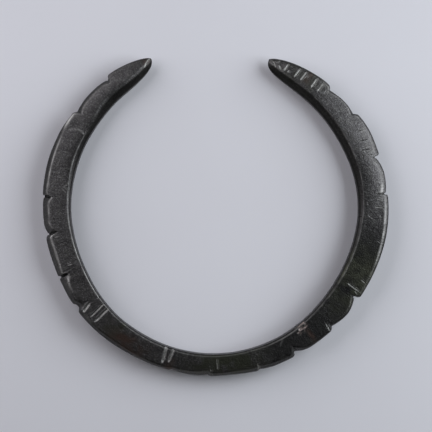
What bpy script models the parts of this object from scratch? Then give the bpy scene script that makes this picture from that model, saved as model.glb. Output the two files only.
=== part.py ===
"""A penannular bronze armilla: one cast bar of D section, bent into an open hoop.

Both ends are drawn down to leaf-shaped heads with blunt points. A file has stepped the outer edge
into a row of long lens-shaped swellings, V nicks part them, and a chisel has cut short strokes
across the upper face. The hoop lies on its flat underside.

Clock angles are degrees clockwise from the middle of the gap, seen from above. The gap opens
towards +Y, +Z is up and lengths are in metres.
"""

import math
from collections import namedtuple

import bmesh
import bpy
from mathutils import Matrix, Vector

MM = 0.001

# Bar and hoop
BORE_RADIUS = 28.85 * MM
BAR_WIDTH = 5.75 * MM
BAR_HEIGHT = 5.2 * MM
OUTER_RADIUS = BORE_RADIUS + BAR_WIDTH
BORE_CENTRE = Vector((-0.65, -0.87)) * MM
OUTER_CENTRE = Vector((-0.35, 0.0)) * MM

# Swells and flats that the hammer left on each outline: clock angle, size, spread in degrees
Swell = namedtuple("Swell", "clock size spread")
BORE_SWELLS = (
    Swell(56, -0.12 * MM, 26),
    Swell(86, 0.28 * MM, 26),
    Swell(110, 0.10 * MM, 36),
    Swell(125, -0.40 * MM, 31),
    Swell(179, 0.22 * MM, 38),
    Swell(245, -0.30 * MM, 26),
    Swell(262, -0.17 * MM, 60),
    Swell(330, 0.46 * MM, 30),
)
OUTER_SWELLS = (
    Swell(48, -0.20 * MM, 6),
    Swell(97, 0.42 * MM, 28),
    Swell(145, -0.16 * MM, 30),
    Swell(175, -0.25 * MM, 12),
    Swell(197, -0.18 * MM, 24),
    Swell(230, 0.26 * MM, 22),
    Swell(283, 0.14 * MM, 20),
)

# Arms and heads: a head is the leaf-shaped end of an arm. The arm's outer edge is drawn in, and
# the slope on its bore side widens, between the clock angles given, counted from the gap.
Arm = namedtuple(
    "Arm", "tip head_length tip_share bluntness draw_in draw_from draw_to slope slope_from slope_to"
)
RIGHT_ARM = Arm(
    tip=19.8,
    head_length=11.8 * MM,
    tip_share=0.6,
    bluntness=2.7,
    draw_in=1.25 * MM,
    draw_from=66,
    draw_to=46,
    slope=1.45 * MM,
    slope_from=128,
    slope_to=62,
)
LEFT_ARM = Arm(
    tip=24.0,
    head_length=8.6 * MM,
    tip_share=0.65,
    bluntness=2.0,
    draw_in=0.70 * MM,
    draw_from=66,
    draw_to=46,
    slope=1.35 * MM,
    slope_from=112,
    slope_to=44,
)
HEAD_HEIGHT = 4.3 * MM
HEAD_CROWN = 0.22 * MM
CROWN_FROM = 60
CROWN_TO = 44
TIP_START = 0.012

# Arrises of the section. The bore's slope falls at its pitch, with a rounded knee part of the way.
BORE_BEVEL = 0.25 * MM
SLOPE_PITCH = 1.2
MOST_SLOPE_DEPTH = 0.8
KNEE_ACROSS = 0.55
KNEE_FALL = 0.28
OUTER_BEVEL = 0.9 * MM
MOST_BEVEL_SHARE = 0.4
ARRIS_ANGLE = math.radians(28)
SHOULDER_STEPS = 4
FOOT_BEVEL = 0.35 * MM
FOOT_PITCH = 1.4
MOST_FOOT_SHARE = 0.2
# The upper face of the right arm leans outward: this much lower at its outer arris
TOP_TILT = Swell(66, 0.5 * MM, 34)

# Steps filed into the outer edge. A dip is how far the outline falls in, a widening is how far
# the upper bevel grows over the face; each fades over its own run, in degrees, on either side.
Notch = namedtuple("Notch", "clock dip dip_before dip_after widening wide_before wide_after")
NOTCHES = (
    Notch(44.6, 0.60 * MM, 1.4, 6.0, 0.35 * MM, 1.4, 4.0),
    Notch(56.3, 0.70 * MM, 8.0, 1.6, 0.30 * MM, 6.0, 1.6),
    Notch(73.3, 0.95 * MM, 1.0, 6.5, 0.50 * MM, 1.5, 7.0),
    Notch(86.2, 0.40 * MM, 7.0, 1.0, 0.70 * MM, 6.0, 1.0),
    Notch(123.2, 1.00 * MM, 1.2, 11.0, 0.45 * MM, 1.5, 7.0),
    Notch(136.9, 0.85 * MM, 6.5, 1.2, 0.50 * MM, 6.0, 1.2),
    Notch(152.0, 0.95 * MM, 6.0, 2.4, 0.60 * MM, 6.0, 2.4),
    Notch(165.3, 0.30 * MM, 6.0, 1.2, 0.50 * MM, 9.0, 1.2),
    Notch(183.0, 0.30 * MM, 1.5, 6.0, 0.60 * MM, 1.5, 12.0),
    Notch(195.3, 0.25 * MM, 6.0, 1.2, 0.40 * MM, 8.0, 1.2),
    Notch(233.6, 0.45 * MM, 3.0, 4.5, 1.65 * MM, 2.4, 4.4),
    Notch(245.3, 0.15 * MM, 2.0, 1.2, 1.10 * MM, 7.0, 1.0),
    Notch(260.2, 0.55 * MM, 2.0, 4.0, 0.95 * MM, 1.2, 6.0),
    Notch(272.8, 0.20 * MM, 2.5, 1.0, 0.80 * MM, 5.0, 0.9),
    Notch(303.6, 0.50 * MM, 1.2, 9.0, 0.25 * MM, 1.2, 5.0),
    Notch(319.3, 0.80 * MM, 8.5, 1.6, 0.10 * MM, 6.0, 1.6),
)

# V nicks sawn over the outer edge: clock angle, the share of the bar's width where the nick
# leaves the upper face, width and depth
Nick = namedtuple("Nick", "clock share width depth")
NICKS = (
    Nick(73.2, 0.80, 0.45 * MM, 0.24 * MM),
    Nick(86.1, 0.70, 0.36 * MM, 0.28 * MM),
    Nick(123.4, 0.76, 0.50 * MM, 0.28 * MM),
    Nick(152.0, 0.76, 0.45 * MM, 0.22 * MM),
    Nick(245.2, 0.56, 0.48 * MM, 0.36 * MM),
    Nick(260.0, 0.64, 0.42 * MM, 0.26 * MM),
    Nick(272.9, 0.66, 0.40 * MM, 0.30 * MM),
)

# Chisel strokes over the upper face: clock angle at mid-stroke, shares of the bar's width where
# the stroke starts and ends, width, depth, and how far its outer end leads, in degrees
Stroke = namedtuple("Stroke", "clock start end width depth lead")
STROKES = (
    Stroke(26.8, 0.56, 0.88, 0.46 * MM, 0.20 * MM, 0.5),
    Stroke(31.0, 0.54, 0.92, 0.48 * MM, 0.22 * MM, 0.3),
    Stroke(33.7, 0.54, 0.92, 0.44 * MM, 0.22 * MM, 0.2),
    Stroke(38.3, 0.54, 0.93, 0.44 * MM, 0.22 * MM, -0.3),
    Stroke(41.0, 0.55, 0.93, 0.44 * MM, 0.22 * MM, -0.3),
    Stroke(90.2, 0.52, 0.86, 0.30 * MM, 0.14 * MM, 0.3),
    Stroke(117.3, 0.70, 0.85, 0.34 * MM, 0.18 * MM, 0.4),
    Stroke(120.7, 0.44, 0.84, 0.34 * MM, 0.20 * MM, 0.5),
    Stroke(137.6, 0.68, 0.94, 0.46 * MM, 0.24 * MM, 0.6),
    Stroke(165.2, 0.72, 0.95, 0.46 * MM, 0.24 * MM, 0.3),
    Stroke(179.3, 0.34, 0.74, 0.30 * MM, 0.14 * MM, -0.3),
    Stroke(181.7, 0.66, 0.94, 0.40 * MM, 0.20 * MM, -0.2),
    Stroke(196.6, 0.20, 0.74, 0.56 * MM, 0.24 * MM, 0.5),
    Stroke(199.0, 0.20, 0.84, 0.60 * MM, 0.26 * MM, -0.5),
    Stroke(226.2, 0.18, 0.80, 0.62 * MM, 0.28 * MM, -0.1),
    Stroke(228.6, 0.22, 0.80, 0.42 * MM, 0.22 * MM, -0.5),
)
# A cut is full size along its middle and runs out towards its ends
STROKE_SIZES = ((0.0, 0.35), (0.2, 1.0), (0.8, 1.0), (1.0, 0.35))
CUTTER_LIFT = 0.5

# Sections are closer together at the notches and in the heads
STATION_PITCH = 4.0
NOTCH_STATIONS = (0.0, 0.16, 0.4, 0.7, 1.0)
HEAD_STATIONS = (0.05, 0.12, 0.22, 0.36, 0.52, 0.7, 0.86, 1.0)
LEAST_STATION_GAP = 0.22


def direction(clock):
    """Unit vector in plan, from the hoop's middle towards a clock angle."""
    angle = math.radians(clock)
    return Vector((math.sin(angle), math.cos(angle)))


def place(clock, radius, height):
    """The point in space at a clock angle, radius and height."""
    plan = direction(clock) * radius
    return Vector((plan.x, plan.y, height))


def fade(distance, run):
    """1 at no distance, falling in a smooth bell to 0 at the end of the run."""
    return 0.5 + 0.5 * math.cos(math.pi * min(abs(distance) / run, 1.0))


def ramp(value, start, end):
    """0 at the start, 1 at the end, smooth between them and level beyond."""
    share = min(max((value - start) / (end - start), 0.0), 1.0)
    return share * share * (3 - 2 * share)


def notch_fade(distance, before, after):
    """1 at a notch, falling fast at first, as the flank of a swelling does."""
    run = before if distance < 0 else after
    return max(0.0, 1.0 - abs(distance) / run) ** 2


def swell_at(clock, swells):
    return sum(swell.size * fade(clock - swell.clock, swell.spread) for swell in swells)


def circle_reach(centre, radius, clock):
    """Distance from the hoop's middle to an off-centre circle, along a clock angle."""
    along = centre.dot(direction(clock))
    across = centre.length_squared - along**2
    return along + math.sqrt(radius**2 - across)


def arm_at(clock):
    return RIGHT_ARM if clock < 180 else LEFT_ARM


def from_gap(clock):
    """Degrees from the middle of the gap, the short way round."""
    return min(clock, 360 - clock)


def head_degrees(arm):
    return math.degrees(arm.head_length / (BORE_RADIUS + BAR_WIDTH / 2))


def head_share(clock):
    """How far into the head a clock angle is: 0 at the tip, 1 where the head meets the arm."""
    arm = arm_at(clock)
    return min((from_gap(clock) - arm.tip) / head_degrees(arm), 1.0)


def blunt_curve(share, bluntness):
    """Rises from 0 at the tip to 1 at the arm; the blunter, the steeper it starts."""
    return (1 - (1 - share) ** bluntness) ** (1 / bluntness)


def outlines(clock):
    """Bore radius and outer radius at a clock angle, measured from the hoop's middle."""
    arm = arm_at(clock)
    bore = circle_reach(BORE_CENTRE, BORE_RADIUS, clock) + swell_at(clock, BORE_SWELLS)
    outer = circle_reach(OUTER_CENTRE, OUTER_RADIUS, clock) + swell_at(clock, OUTER_SWELLS)
    outer -= arm.draw_in * ramp(from_gap(clock), arm.draw_from, arm.draw_to)
    tip = bore + arm.tip_share * (outer - bore)
    share = head_share(clock)
    bore = tip + (bore - tip) * blunt_curve(share, arm.bluntness)
    outer = tip + (outer - tip) * math.sqrt(share)
    for notch in NOTCHES:
        outer -= notch.dip * notch_fade(clock - notch.clock, notch.dip_before, notch.dip_after)
    return bore, outer


def slope_share(clock):
    """0 round the back of the hoop, 1 where an arm has its full slope."""
    arm = arm_at(clock)
    return ramp(from_gap(clock), arm.slope_from, arm.slope_to)


def height_at(clock):
    """Height of the bar: full round the back, lower in the heads, blunt at the tips."""
    height = BAR_HEIGHT + (HEAD_HEIGHT - BAR_HEIGHT) * slope_share(clock)
    return height * blunt_curve(head_share(clock), 2)


def bevels(clock, width):
    """Plan widths of the slope at the bore and of the upper bevel at the outer edge."""
    slope = BORE_BEVEL + (arm_at(clock).slope - BORE_BEVEL) * slope_share(clock)
    bevel = OUTER_BEVEL
    for notch in NOTCHES:
        bevel += notch.widening * notch_fade(clock - notch.clock, notch.wide_before, notch.wide_after)
    most = MOST_BEVEL_SHARE * width
    return min(slope, most), min(bevel, most)


def shoulder(width, bevel, half):
    """Points of a rounded outer face, from the arris down to just above mid-height."""
    points = []
    for k in range(SHOULDER_STEPS):
        angle = ARRIS_ANGLE + (math.pi / 2 - ARRIS_ANGLE) * k / SHOULDER_STEPS
        reach = (math.sin(angle) - math.sin(ARRIS_ANGLE)) / (1 - math.sin(ARRIS_ANGLE))
        points.append((width - bevel + bevel * reach, half * math.cos(angle) / math.cos(ARRIS_ANGLE)))
    return points


def section(clock):
    """(radius, height) points of the bar's section: up the bore, over the top, down and under."""
    bore, outer = outlines(clock)
    width = outer - bore
    half = height_at(clock) / 2
    slope, bevel = bevels(clock, width)
    foot = min(FOOT_BEVEL, MOST_FOOT_SHARE * width)
    crown = HEAD_CROWN * ramp(from_gap(clock), CROWN_FROM, CROWN_TO) * (2 * half / HEAD_HEIGHT)
    slope_depth = min(SLOPE_PITCH * slope, MOST_SLOPE_DEPTH * half)
    outer_half = half - swell_at(clock, [TOP_TILT])
    upper = shoulder(width, bevel, outer_half)
    lower = shoulder(width, min(OUTER_BEVEL, MOST_BEVEL_SHARE * width), half)
    points = [
        (foot, -half),
        (0.0, -half + FOOT_PITCH * foot),
        (0.0, half - slope_depth),
        (KNEE_ACROSS * slope, half - KNEE_FALL * slope_depth - crown),
        (slope, half),
        ((slope + upper[0][0]) / 2, (half + outer_half) / 2 + crown),
        *upper,
        (width, 0.0),
        *[(across, -up) for across, up in reversed(lower)],
        ((foot + lower[0][0]) / 2, -half),
    ]
    return [(bore + across, BAR_HEIGHT / 2 + up) for across, up in points]


def stations():
    """Clock angles of the sections, from the right tip round to the left one."""
    first = RIGHT_ARM.tip + TIP_START * head_degrees(RIGHT_ARM)
    last = 360 - LEFT_ARM.tip - TIP_START * head_degrees(LEFT_ARM)
    count = round((last - first) / STATION_PITCH)
    found = [first + (last - first) * k / count for k in range(1, count)]
    for notch in NOTCHES:
        for share in NOTCH_STATIONS:
            found.append(notch.clock - share * notch.dip_before)
            found.append(notch.clock + share * notch.dip_after)
    for share in HEAD_STATIONS:
        found.append(RIGHT_ARM.tip + share * head_degrees(RIGHT_ARM))
        found.append(360 - LEFT_ARM.tip - share * head_degrees(LEFT_ARM))
    spaced = [first]
    for clock in sorted(found):
        if clock - spaced[-1] > LEAST_STATION_GAP and last - clock > LEAST_STATION_GAP:
            spaced.append(clock)
    return [*spaced, last]


def loft(name, rings, collection):
    """A closed body whose skin is bridged from ring to ring, with a face over each end."""
    shape = bmesh.new()
    loops = []
    for ring in rings:
        corners = [shape.verts.new(point) for point in ring]
        following = corners[1:] + corners[:1]
        loops.append([shape.edges.new(pair) for pair in zip(corners, following)])
    for near, far in zip(loops, loops[1:]):
        bmesh.ops.bridge_loops(shape, edges=near + far)
    for end in (loops[0], loops[-1]):
        bmesh.ops.edgenet_fill(shape, edges=end)
    bmesh.ops.recalc_face_normals(shape, faces=shape.faces)
    mesh = bpy.data.meshes.new(name)
    shape.to_mesh(mesh)
    shape.free()
    body = bpy.data.objects.new(name, mesh)
    collection.objects.link(body)
    return body


def top_point(clock, share):
    """(radius, height) on the upper face, at a share of the bar's width from the bore."""
    bore, outer = outlines(clock)
    radius = bore + share * (outer - bore)
    over = section(clock)[2 : 6 + SHOULDER_STEPS + 1]
    for (near, low), (far, high) in zip(over, over[1:]):
        if near <= radius <= far and near < far:
            return radius, low + (high - low) * (radius - near) / (far - near)
    return over[-1]


def groove_ring(clock, point, outward, width, depth):
    """A diamond about a surface point: its lower corner is the bottom of a V groove."""
    across = direction(clock + 90).to_3d()
    plan = direction(clock) * outward[0]
    normal = Vector((plan.x, plan.y, outward[1]))
    centre = place(clock, *point) + normal * depth * CUTTER_LIFT
    side = across * width / 2 * (1 + CUTTER_LIFT)
    rise = normal * depth * (1 + CUTTER_LIFT)
    return [centre + side, centre + rise, centre - side, centre - rise]


def nick_cutter(number, nick, collection):
    """A V groove that starts on the upper face and follows the outer face down to its foot."""
    points = section(nick.clock)
    face = points[6 : 6 + 2 * SHOULDER_STEPS + 1]
    path = [top_point(nick.clock, nick.share), *face[1::2]]
    rings = []
    for k, point in enumerate(path):
        before = path[max(k - 1, 0)]
        after = path[min(k + 1, len(path) - 1)]
        along = Vector((after[0] - before[0], after[1] - before[1])).normalized()
        outward = (-along.y, along.x)
        rings.append(groove_ring(nick.clock, point, outward, nick.width, nick.depth))
    return loft(f"nick_{number}", rings, collection)


def stroke_cutter(number, stroke, collection):
    """A V groove across the upper face, running out at both ends."""
    rings = []
    for along, size in STROKE_SIZES:
        clock = stroke.clock + stroke.lead * (along - 0.5)
        point = top_point(clock, stroke.start + (stroke.end - stroke.start) * along)
        rings.append(groove_ring(clock, point, (0, 1), size * stroke.width, size * stroke.depth))
    return loft(f"stroke_{number}", rings, collection)


def carve(body, cutters):
    for cutter in cutters:
        cutter.hide_render = True
        cutter.display_type = "WIRE"
        cut = body.modifiers.new(cutter.name, "BOOLEAN")
        cut.operation = "DIFFERENCE"
        cut.solver = "EXACT"
        cut.object = cutter


def patinated_bronze():
    material = bpy.data.materials.new("patinated_bronze")
    material.use_nodes = True
    shader = material.node_tree.nodes["Principled BSDF"]
    shader.inputs["Base Color"].default_value = (0.035, 0.034, 0.033, 1)
    shader.inputs["Metallic"].default_value = 0.6
    shader.inputs["Roughness"].default_value = 0.45
    return material


def middle_of(rings):
    """Middle, in plan, of the box round all the sections."""
    across = [point.x for ring in rings for point in ring]
    along = [point.y for ring in rings for point in ring]
    return Vector(((min(across) + max(across)) / 2, (min(along) + max(along)) / 2, 0))


def main():
    for obj in list(bpy.data.objects):
        bpy.data.objects.remove(obj)
    armilla = bpy.data.collections.new("armilla")
    cutters = bpy.data.collections.new("cutters")
    bpy.context.scene.collection.children.link(armilla)
    bpy.context.scene.collection.children.link(cutters)

    rings = [[place(clock, *point) for point in section(clock)] for clock in stations()]
    hoop = loft("armilla_hoop", rings, armilla)
    hoop.data.materials.append(patinated_bronze())
    carve(hoop, [nick_cutter(k, nick, cutters) for k, nick in enumerate(NICKS)])
    carve(hoop, [stroke_cutter(k, stroke, cutters) for k, stroke in enumerate(STROKES)])

    centring = Matrix.Translation(-middle_of(rings))
    for obj in [*armilla.objects, *cutters.objects]:
        obj.data.transform(centring)
    hoop.data.shade_smooth()
    hoop.data.set_sharp_from_angle(angle=math.radians(30))


main()
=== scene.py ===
# %% [markdown]
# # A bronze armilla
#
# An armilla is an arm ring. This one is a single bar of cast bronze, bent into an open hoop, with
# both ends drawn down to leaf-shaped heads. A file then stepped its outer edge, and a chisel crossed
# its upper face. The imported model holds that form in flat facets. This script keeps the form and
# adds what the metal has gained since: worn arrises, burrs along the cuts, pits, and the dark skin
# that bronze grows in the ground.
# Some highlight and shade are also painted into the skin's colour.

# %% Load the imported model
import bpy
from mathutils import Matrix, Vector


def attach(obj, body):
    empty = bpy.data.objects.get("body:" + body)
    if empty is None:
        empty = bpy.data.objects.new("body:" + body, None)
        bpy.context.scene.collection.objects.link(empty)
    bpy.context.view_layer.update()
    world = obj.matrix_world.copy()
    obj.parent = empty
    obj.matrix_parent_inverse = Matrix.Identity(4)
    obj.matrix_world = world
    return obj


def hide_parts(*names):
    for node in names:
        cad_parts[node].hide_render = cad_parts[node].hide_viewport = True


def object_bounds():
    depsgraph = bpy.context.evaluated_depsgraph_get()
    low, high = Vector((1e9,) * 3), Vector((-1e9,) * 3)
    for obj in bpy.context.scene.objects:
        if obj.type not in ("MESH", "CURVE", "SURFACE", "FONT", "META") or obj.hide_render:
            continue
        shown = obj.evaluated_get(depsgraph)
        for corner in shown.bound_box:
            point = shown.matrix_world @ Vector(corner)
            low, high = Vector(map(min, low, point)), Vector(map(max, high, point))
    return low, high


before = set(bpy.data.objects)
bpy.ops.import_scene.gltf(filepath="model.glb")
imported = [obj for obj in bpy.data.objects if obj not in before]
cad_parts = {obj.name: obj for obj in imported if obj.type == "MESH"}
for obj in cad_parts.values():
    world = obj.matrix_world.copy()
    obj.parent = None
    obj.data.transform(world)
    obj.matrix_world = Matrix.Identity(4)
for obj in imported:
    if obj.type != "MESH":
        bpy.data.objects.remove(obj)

cad_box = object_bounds()
print("nodes", sorted(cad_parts), "box", [[round(v, 5) for v in corner] for corner in cad_box])

# %% [markdown]
# ## Units and angles
#
# The hoop is easiest to think of as a clock face seen from above. Clock angles are degrees clockwise
# from the middle of the gap between the ends, which opens towards +Y. A point on the bar is then a
# clock angle, a radius and a height. The scene is in metres, so sizes are written in millimetres and
# multiplied by MM, also those in tables. Two small curves do most of the shaping: a bell that fades
# out on both sides of a place, and a ramp that leads smoothly from one level to the next.

# %% Units and angles
import math
from collections import namedtuple

import bmesh
import bpy
import numpy as np
from mathutils import Matrix, Vector, noise

MM = 0.001


def rows_in_mm(kind, lengths, *rows):
    """A table's rows as named tuples. The named lengths are given in millimetres."""
    units = [MM if field in lengths.split() else 1 for field in kind._fields]
    return tuple(kind(*[value * unit for value, unit in zip(row, units)]) for row in rows)


def direction(clock):
    """Unit vector in plan, from the hoop's middle towards a clock angle."""
    angle = math.radians(clock)
    return Vector((math.sin(angle), math.cos(angle)))


def from_gap(clock):
    """Degrees from the middle of the gap, the short way round."""
    return min(clock, 360 - clock)


def fade(distance, run):
    """1 at no distance, falling in a smooth bell to 0 at the end of the run."""
    return 0.5 + 0.5 * np.cos(np.pi * np.minimum(np.abs(distance) / run, 1.0))


def ramp(value, start, end):
    """0 at the start, 1 at the end, smooth between them and level beyond."""
    share = np.clip((value - start) / (end - start), 0.0, 1.0)
    return share * share * (3 - 2 * share)


# %% [markdown]
# ## The outline
#
# A smith bends a straight bar round a form, so both outlines of the hoop are nearly circles, with
# swells and flats where the hammer landed. Each outline is therefore a circle with a few smooth
# bumps added, and each swelling of the outer edge ends in a notch where the file stopped. Written
# this way, the whole outline is two circles, eighteen swells, sixteen notches and two heads, with
# no list of points.

# %% The outline of the hoop
BORE_RADIUS = 28.85 * MM
BAR_WIDTH = 5.75 * MM
BAR_HEIGHT = 5.2 * MM
OUTER_RADIUS = BORE_RADIUS + BAR_WIDTH
MID_RADIUS = BORE_RADIUS + BAR_WIDTH / 2
BORE_CENTRE = Vector((-0.65, -0.87)) * MM
OUTER_CENTRE = Vector((-0.35, 0.0)) * MM

Swell = namedtuple("Swell", "clock size spread")
BORE_SWELLS = rows_in_mm(
    Swell, "size",
    (56, -0.12, 26), (86, 0.28, 26), (110, 0.10, 36), (125, -0.40, 31), (179, 0.22, 38),
    (245, -0.30, 26), (262, -0.17, 60), (330, 0.46, 30),
)
OUTER_SWELLS = rows_in_mm(
    Swell, "size",
    (48, -0.20, 6), (97, 0.42, 28), (145, -0.16, 30), (175, -0.25, 12), (197, -0.18, 24),
    (230, 0.26, 22), (283, 0.14, 20), (301, -0.12, 5), (303, -0.27, 20), (316, -0.16, 8),
)

Arm = namedtuple(
    "Arm", "tip head_length tip_share bluntness draw_in draw_from draw_to slope slope_from slope_to"
)
RIGHT_ARM = Arm(19.8, 11.8 * MM, 0.6, 2.7, 1.25 * MM, 66, 46, 1.45 * MM, 128, 62)
LEFT_ARM = Arm(24.0, 8.6 * MM, 0.65, 2.0, 0.70 * MM, 66, 46, 1.35 * MM, 112, 44)

# A taper is full at its clock angle and dies out over so many degrees before and after it
Taper = namedtuple("Taper", "clock size before after")
NOTCHES = rows_in_mm(
    Taper, "size",
    (44.6, 0.60, 1.4, 6.0), (56.3, 0.70, 8.0, 1.6), (73.3, 0.95, 1.0, 6.5), (86.2, 0.40, 7.0, 1.0),
    (123.7, 1.00, 1.2, 7.0), (136.4, 0.60, 8.0, 1.6), (151.7, 0.90, 5.6, 1.7),
    (165.3, 0.30, 6.0, 1.2), (183.0, 0.30, 1.5, 6.0), (195.3, 0.25, 6.0, 1.2),
    (233.6, 0.25, 3.0, 4.5), (245.3, 0.15, 2.0, 1.2), (260.2, 0.55, 2.0, 4.0),
    (272.8, 0.20, 2.5, 1.0), (303.6, 0.50, 1.2, 9.0), (318.9, 0.55, 6.5, 1.6),
)


def tapered(clock, tapers):
    """Sum of tapers at a clock angle. Each falls fast at first, as the flank of a swelling does."""
    total = 0.0
    for taper in tapers:
        distance = clock - taper.clock
        run = taper.before if distance < 0 else taper.after
        total += taper.size * max(0.0, 1.0 - abs(distance) / run) ** 2
    return total


def swell_at(clock, swells):
    return sum(swell.size * float(fade(clock - swell.clock, swell.spread)) for swell in swells)


def circle_reach(centre, radius, clock):
    """Distance from the hoop's middle to an off-centre circle, along a clock angle."""
    along = centre.dot(direction(clock))
    across = centre.length_squared - along**2
    return along + math.sqrt(radius**2 - across)


def arm_at(clock):
    return RIGHT_ARM if clock < 180 else LEFT_ARM


def head_degrees(arm):
    """How many degrees of the hoop an arm's head takes up."""
    return math.degrees(arm.head_length / MID_RADIUS)


def head_share(clock):
    """How far into the head a clock angle is: 0 at the tip, 1 where the head meets the arm."""
    arm = arm_at(clock)
    return min((from_gap(clock) - arm.tip) / head_degrees(arm), 1.0)


def blunt_curve(share, bluntness):
    """Rises from 0 at the tip to 1 at the arm; the blunter, the steeper it starts."""
    return (1 - (1 - share) ** bluntness) ** (1 / bluntness)


def outlines(clock):
    """Bore radius, outer radius before the file, and outer radius, from the hoop's middle."""
    arm = arm_at(clock)
    bore = circle_reach(BORE_CENTRE, BORE_RADIUS, clock) + swell_at(clock, BORE_SWELLS)
    outer = circle_reach(OUTER_CENTRE, OUTER_RADIUS, clock) + swell_at(clock, OUTER_SWELLS)
    outer -= arm.draw_in * float(ramp(from_gap(clock), arm.draw_from, arm.draw_to))
    tip = bore + arm.tip_share * (outer - bore)
    share = head_share(clock)
    bore = tip + (bore - tip) * blunt_curve(share, arm.bluntness)
    outer = tip + (outer - tip) * math.sqrt(share)
    return bore, outer, outer - tapered(clock, NOTCHES)


for clock in (60, 120, 180, 240, 300):
    print("clock", clock, "radii, mm", [round(r / MM, 2) for r in outlines(clock)])

# %% [markdown]
# ## The section
#
# Cut the bar anywhere and it shows a D: an upright wall at the bore, a top that leans outward a few
# degrees, a rounded outer face and a flat underside. Along both arms the bore side of the top slopes
# away like a roof. Between the top and the outer face lie two filed bands, a shallow one that
# catches the light and a steep one that falls away from it.
#
# A section is first drawn as a polygon with an arris at each corner. A real arris is never sharp, so
# every point of the finished curve is the average of a short run of that polygon: the longer the
# run, the rounder the arris.

# %% The top and its bands
HEAD_HEIGHT = 4.3 * MM
SLOPE_AT_BACK = 0.34 * MM
SLOPE_SWELLS = rows_in_mm(
    Swell, "size",
    (120, 0.28, 30), (152, 0.14, 18), (195, 0.10, 34), (300, -0.22, 14), (315, 0.24, 12),
)
PITCH_AT_BACK = 0.55
PITCH_ON_ARMS = 1.0
MOST_SLOPE_DEPTH = 0.8
KNEE_ACROSS = 0.5
KNEE_FALL = 0.43

# How much lower the top is at its outer edge than at its inner arris. A swell with a spread of 900
# degrees is nearly level all round, so it gives the table's base value.
LEANS = rows_in_mm(
    Swell, "size",
    (180, 0.40, 900), (31, 0.62, 14), (67, 1.14, 32), (117, -0.42, 34), (316, 0.62, 36),
    (327, 0.55, 14),
)
# 1 is a straight lean, and more than 1 is a top that falls faster towards its outer edge
LEAN_CURVES = (Swell(180, 1.5, 900), Swell(62, 0.3, 18), Swell(80, 1.3, 16), Swell(310, 0.8, 26))
# How much higher the middle of the top is than a straight line across it
CROWNS = rows_in_mm(
    Swell, "size",
    (30, 0.10, 26), (78, 0.06, 20), (295, 0.07, 20), (322, 0.12, 26),
)

# Plan widths of the two filed bands
SHALLOW_BAND = 0.34 * MM
SHALLOW_SWELLS = rows_in_mm(
    Swell, "size",
    (50, -0.26, 8), (74, 0.50, 15), (95, 0.34, 22), (252, 0.16, 9), (284, -0.13, 12),
    (327, -0.14, 12),
)
SHALLOW_TAPERS = rows_in_mm(Taper, "size", (86.2, 0.35, 9, 0.8), (245.3, 1.60, 5.5, 0.8))
SHALLOW_PITCH = 0.56
STEEP_BAND = 0.22 * MM
STEEP_SWELLS = rows_in_mm(
    Swell, "size",
    (165, 0.60, 32), (190, 0.40, 14), (216, 0.50, 24), (252, 0.70, 26), (240, 0.50, 7),
    (267.5, 0.42, 8), (283, 0.66, 24), (300, -0.27, 7), (311, 0.40, 9),
)
STEEP_TAPERS = rows_in_mm(
    Taper, "size",
    (44.6, 0.15, 1.4, 4.0), (56.3, 0.20, 5.0, 1.6), (123.2, 0.40, 1.5, 7.0),
    (136.9, 0.35, 6.0, 1.2), (152.0, 0.50, 6.0, 2.4), (183.0, 0.35, 1.5, 10.0),
    (233.6, 0.70, 2.4, 4.4), (260.2, 1.10, 1.2, 5.0), (272.8, 0.90, 4.0, 0.9),
    (303.8, 0.90, 0.6, 5.0), (319.3, 0.60, 6.0, 1.6),
)
STEEP_PITCH = 1.5
MOST_BAND_SHARE = 0.46


def slope_share(clock):
    """0 round the back of the hoop, 1 where an arm has its full slope."""
    arm = arm_at(clock)
    return float(ramp(from_gap(clock), arm.slope_from, arm.slope_to))


def height_at(clock):
    """Height of the bar: full round the back, lower in the heads, blunt at the tips."""
    height = BAR_HEIGHT + (HEAD_HEIGHT - BAR_HEIGHT) * slope_share(clock)
    return height * blunt_curve(head_share(clock), 2)


def bands(clock, width):
    """Plan widths of the slope at the bore and of the two filed bands at the outer edge."""
    slope = SLOPE_AT_BACK + (arm_at(clock).slope - SLOPE_AT_BACK) * slope_share(clock)
    slope += swell_at(clock, SLOPE_SWELLS)
    shallow = SHALLOW_BAND + swell_at(clock, SHALLOW_SWELLS) + tapered(clock, SHALLOW_TAPERS)
    steep = STEEP_BAND + swell_at(clock, STEEP_SWELLS) + tapered(clock, STEEP_TAPERS)
    fit = min(1.0, MOST_BAND_SHARE * width / (shallow + steep))
    return min(slope, MOST_BAND_SHARE * width), shallow * fit, steep * fit


for clock in (60, 180, 300):
    bore, _, outer = outlines(clock)
    print("clock", clock, "bands, mm", [round(band / MM, 2) for band in bands(clock, outer - bore)])

# %% The section's corners
LOWER_BEVEL = 0.9 * MM
LOWER_ANGLE = math.radians(28)
LOWER_STEPS = 4
MOST_LOWER_SHARE = 0.4
FOOT_BEVEL = 0.35 * MM
FOOT_PITCH = 1.4
MOST_FOOT_SHARE = 0.2
BAND_FOOT_IN = 0.12
TOP_PARTS = 5

# Half the run that each corner is averaged over: worn arrises are rounder than cut ones
FOOT_RUN = 0.22 * MM
WALL_RUN = 0.16 * MM
KNEE_RUN = 0.30 * MM
ARRIS_RUN = 0.11 * MM
TOP_RUN = 0.40 * MM
BAND_RUN = 0.20 * MM
SIDE_RUN = 0.30 * MM

# How much longer the run is where an arris is worn round
INNER_SOFTNESS = rows_in_mm(Swell, "size", (22, 0.20, 9), (36, 0.05, 18), (328, 0.35, 16))
OUTER_SOFTNESS = rows_in_mm(
    Swell, "size",
    (70, 0.34, 20), (170, 0.14, 50), (257, 0.18, 18), (300, 0.14, 6), (325, 0.24, 14),
)

# Beyond the shelf on the left arm the inner arris was filed away, so its run is long there
SOFT_FROM = 297.8
SOFT_TO = 300.5
SOFT_RUN = 0.80 * MM

# All runs shrink towards a tip, and are whole again at one part in this many of the head
RUN_GROWTH = 3

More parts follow.
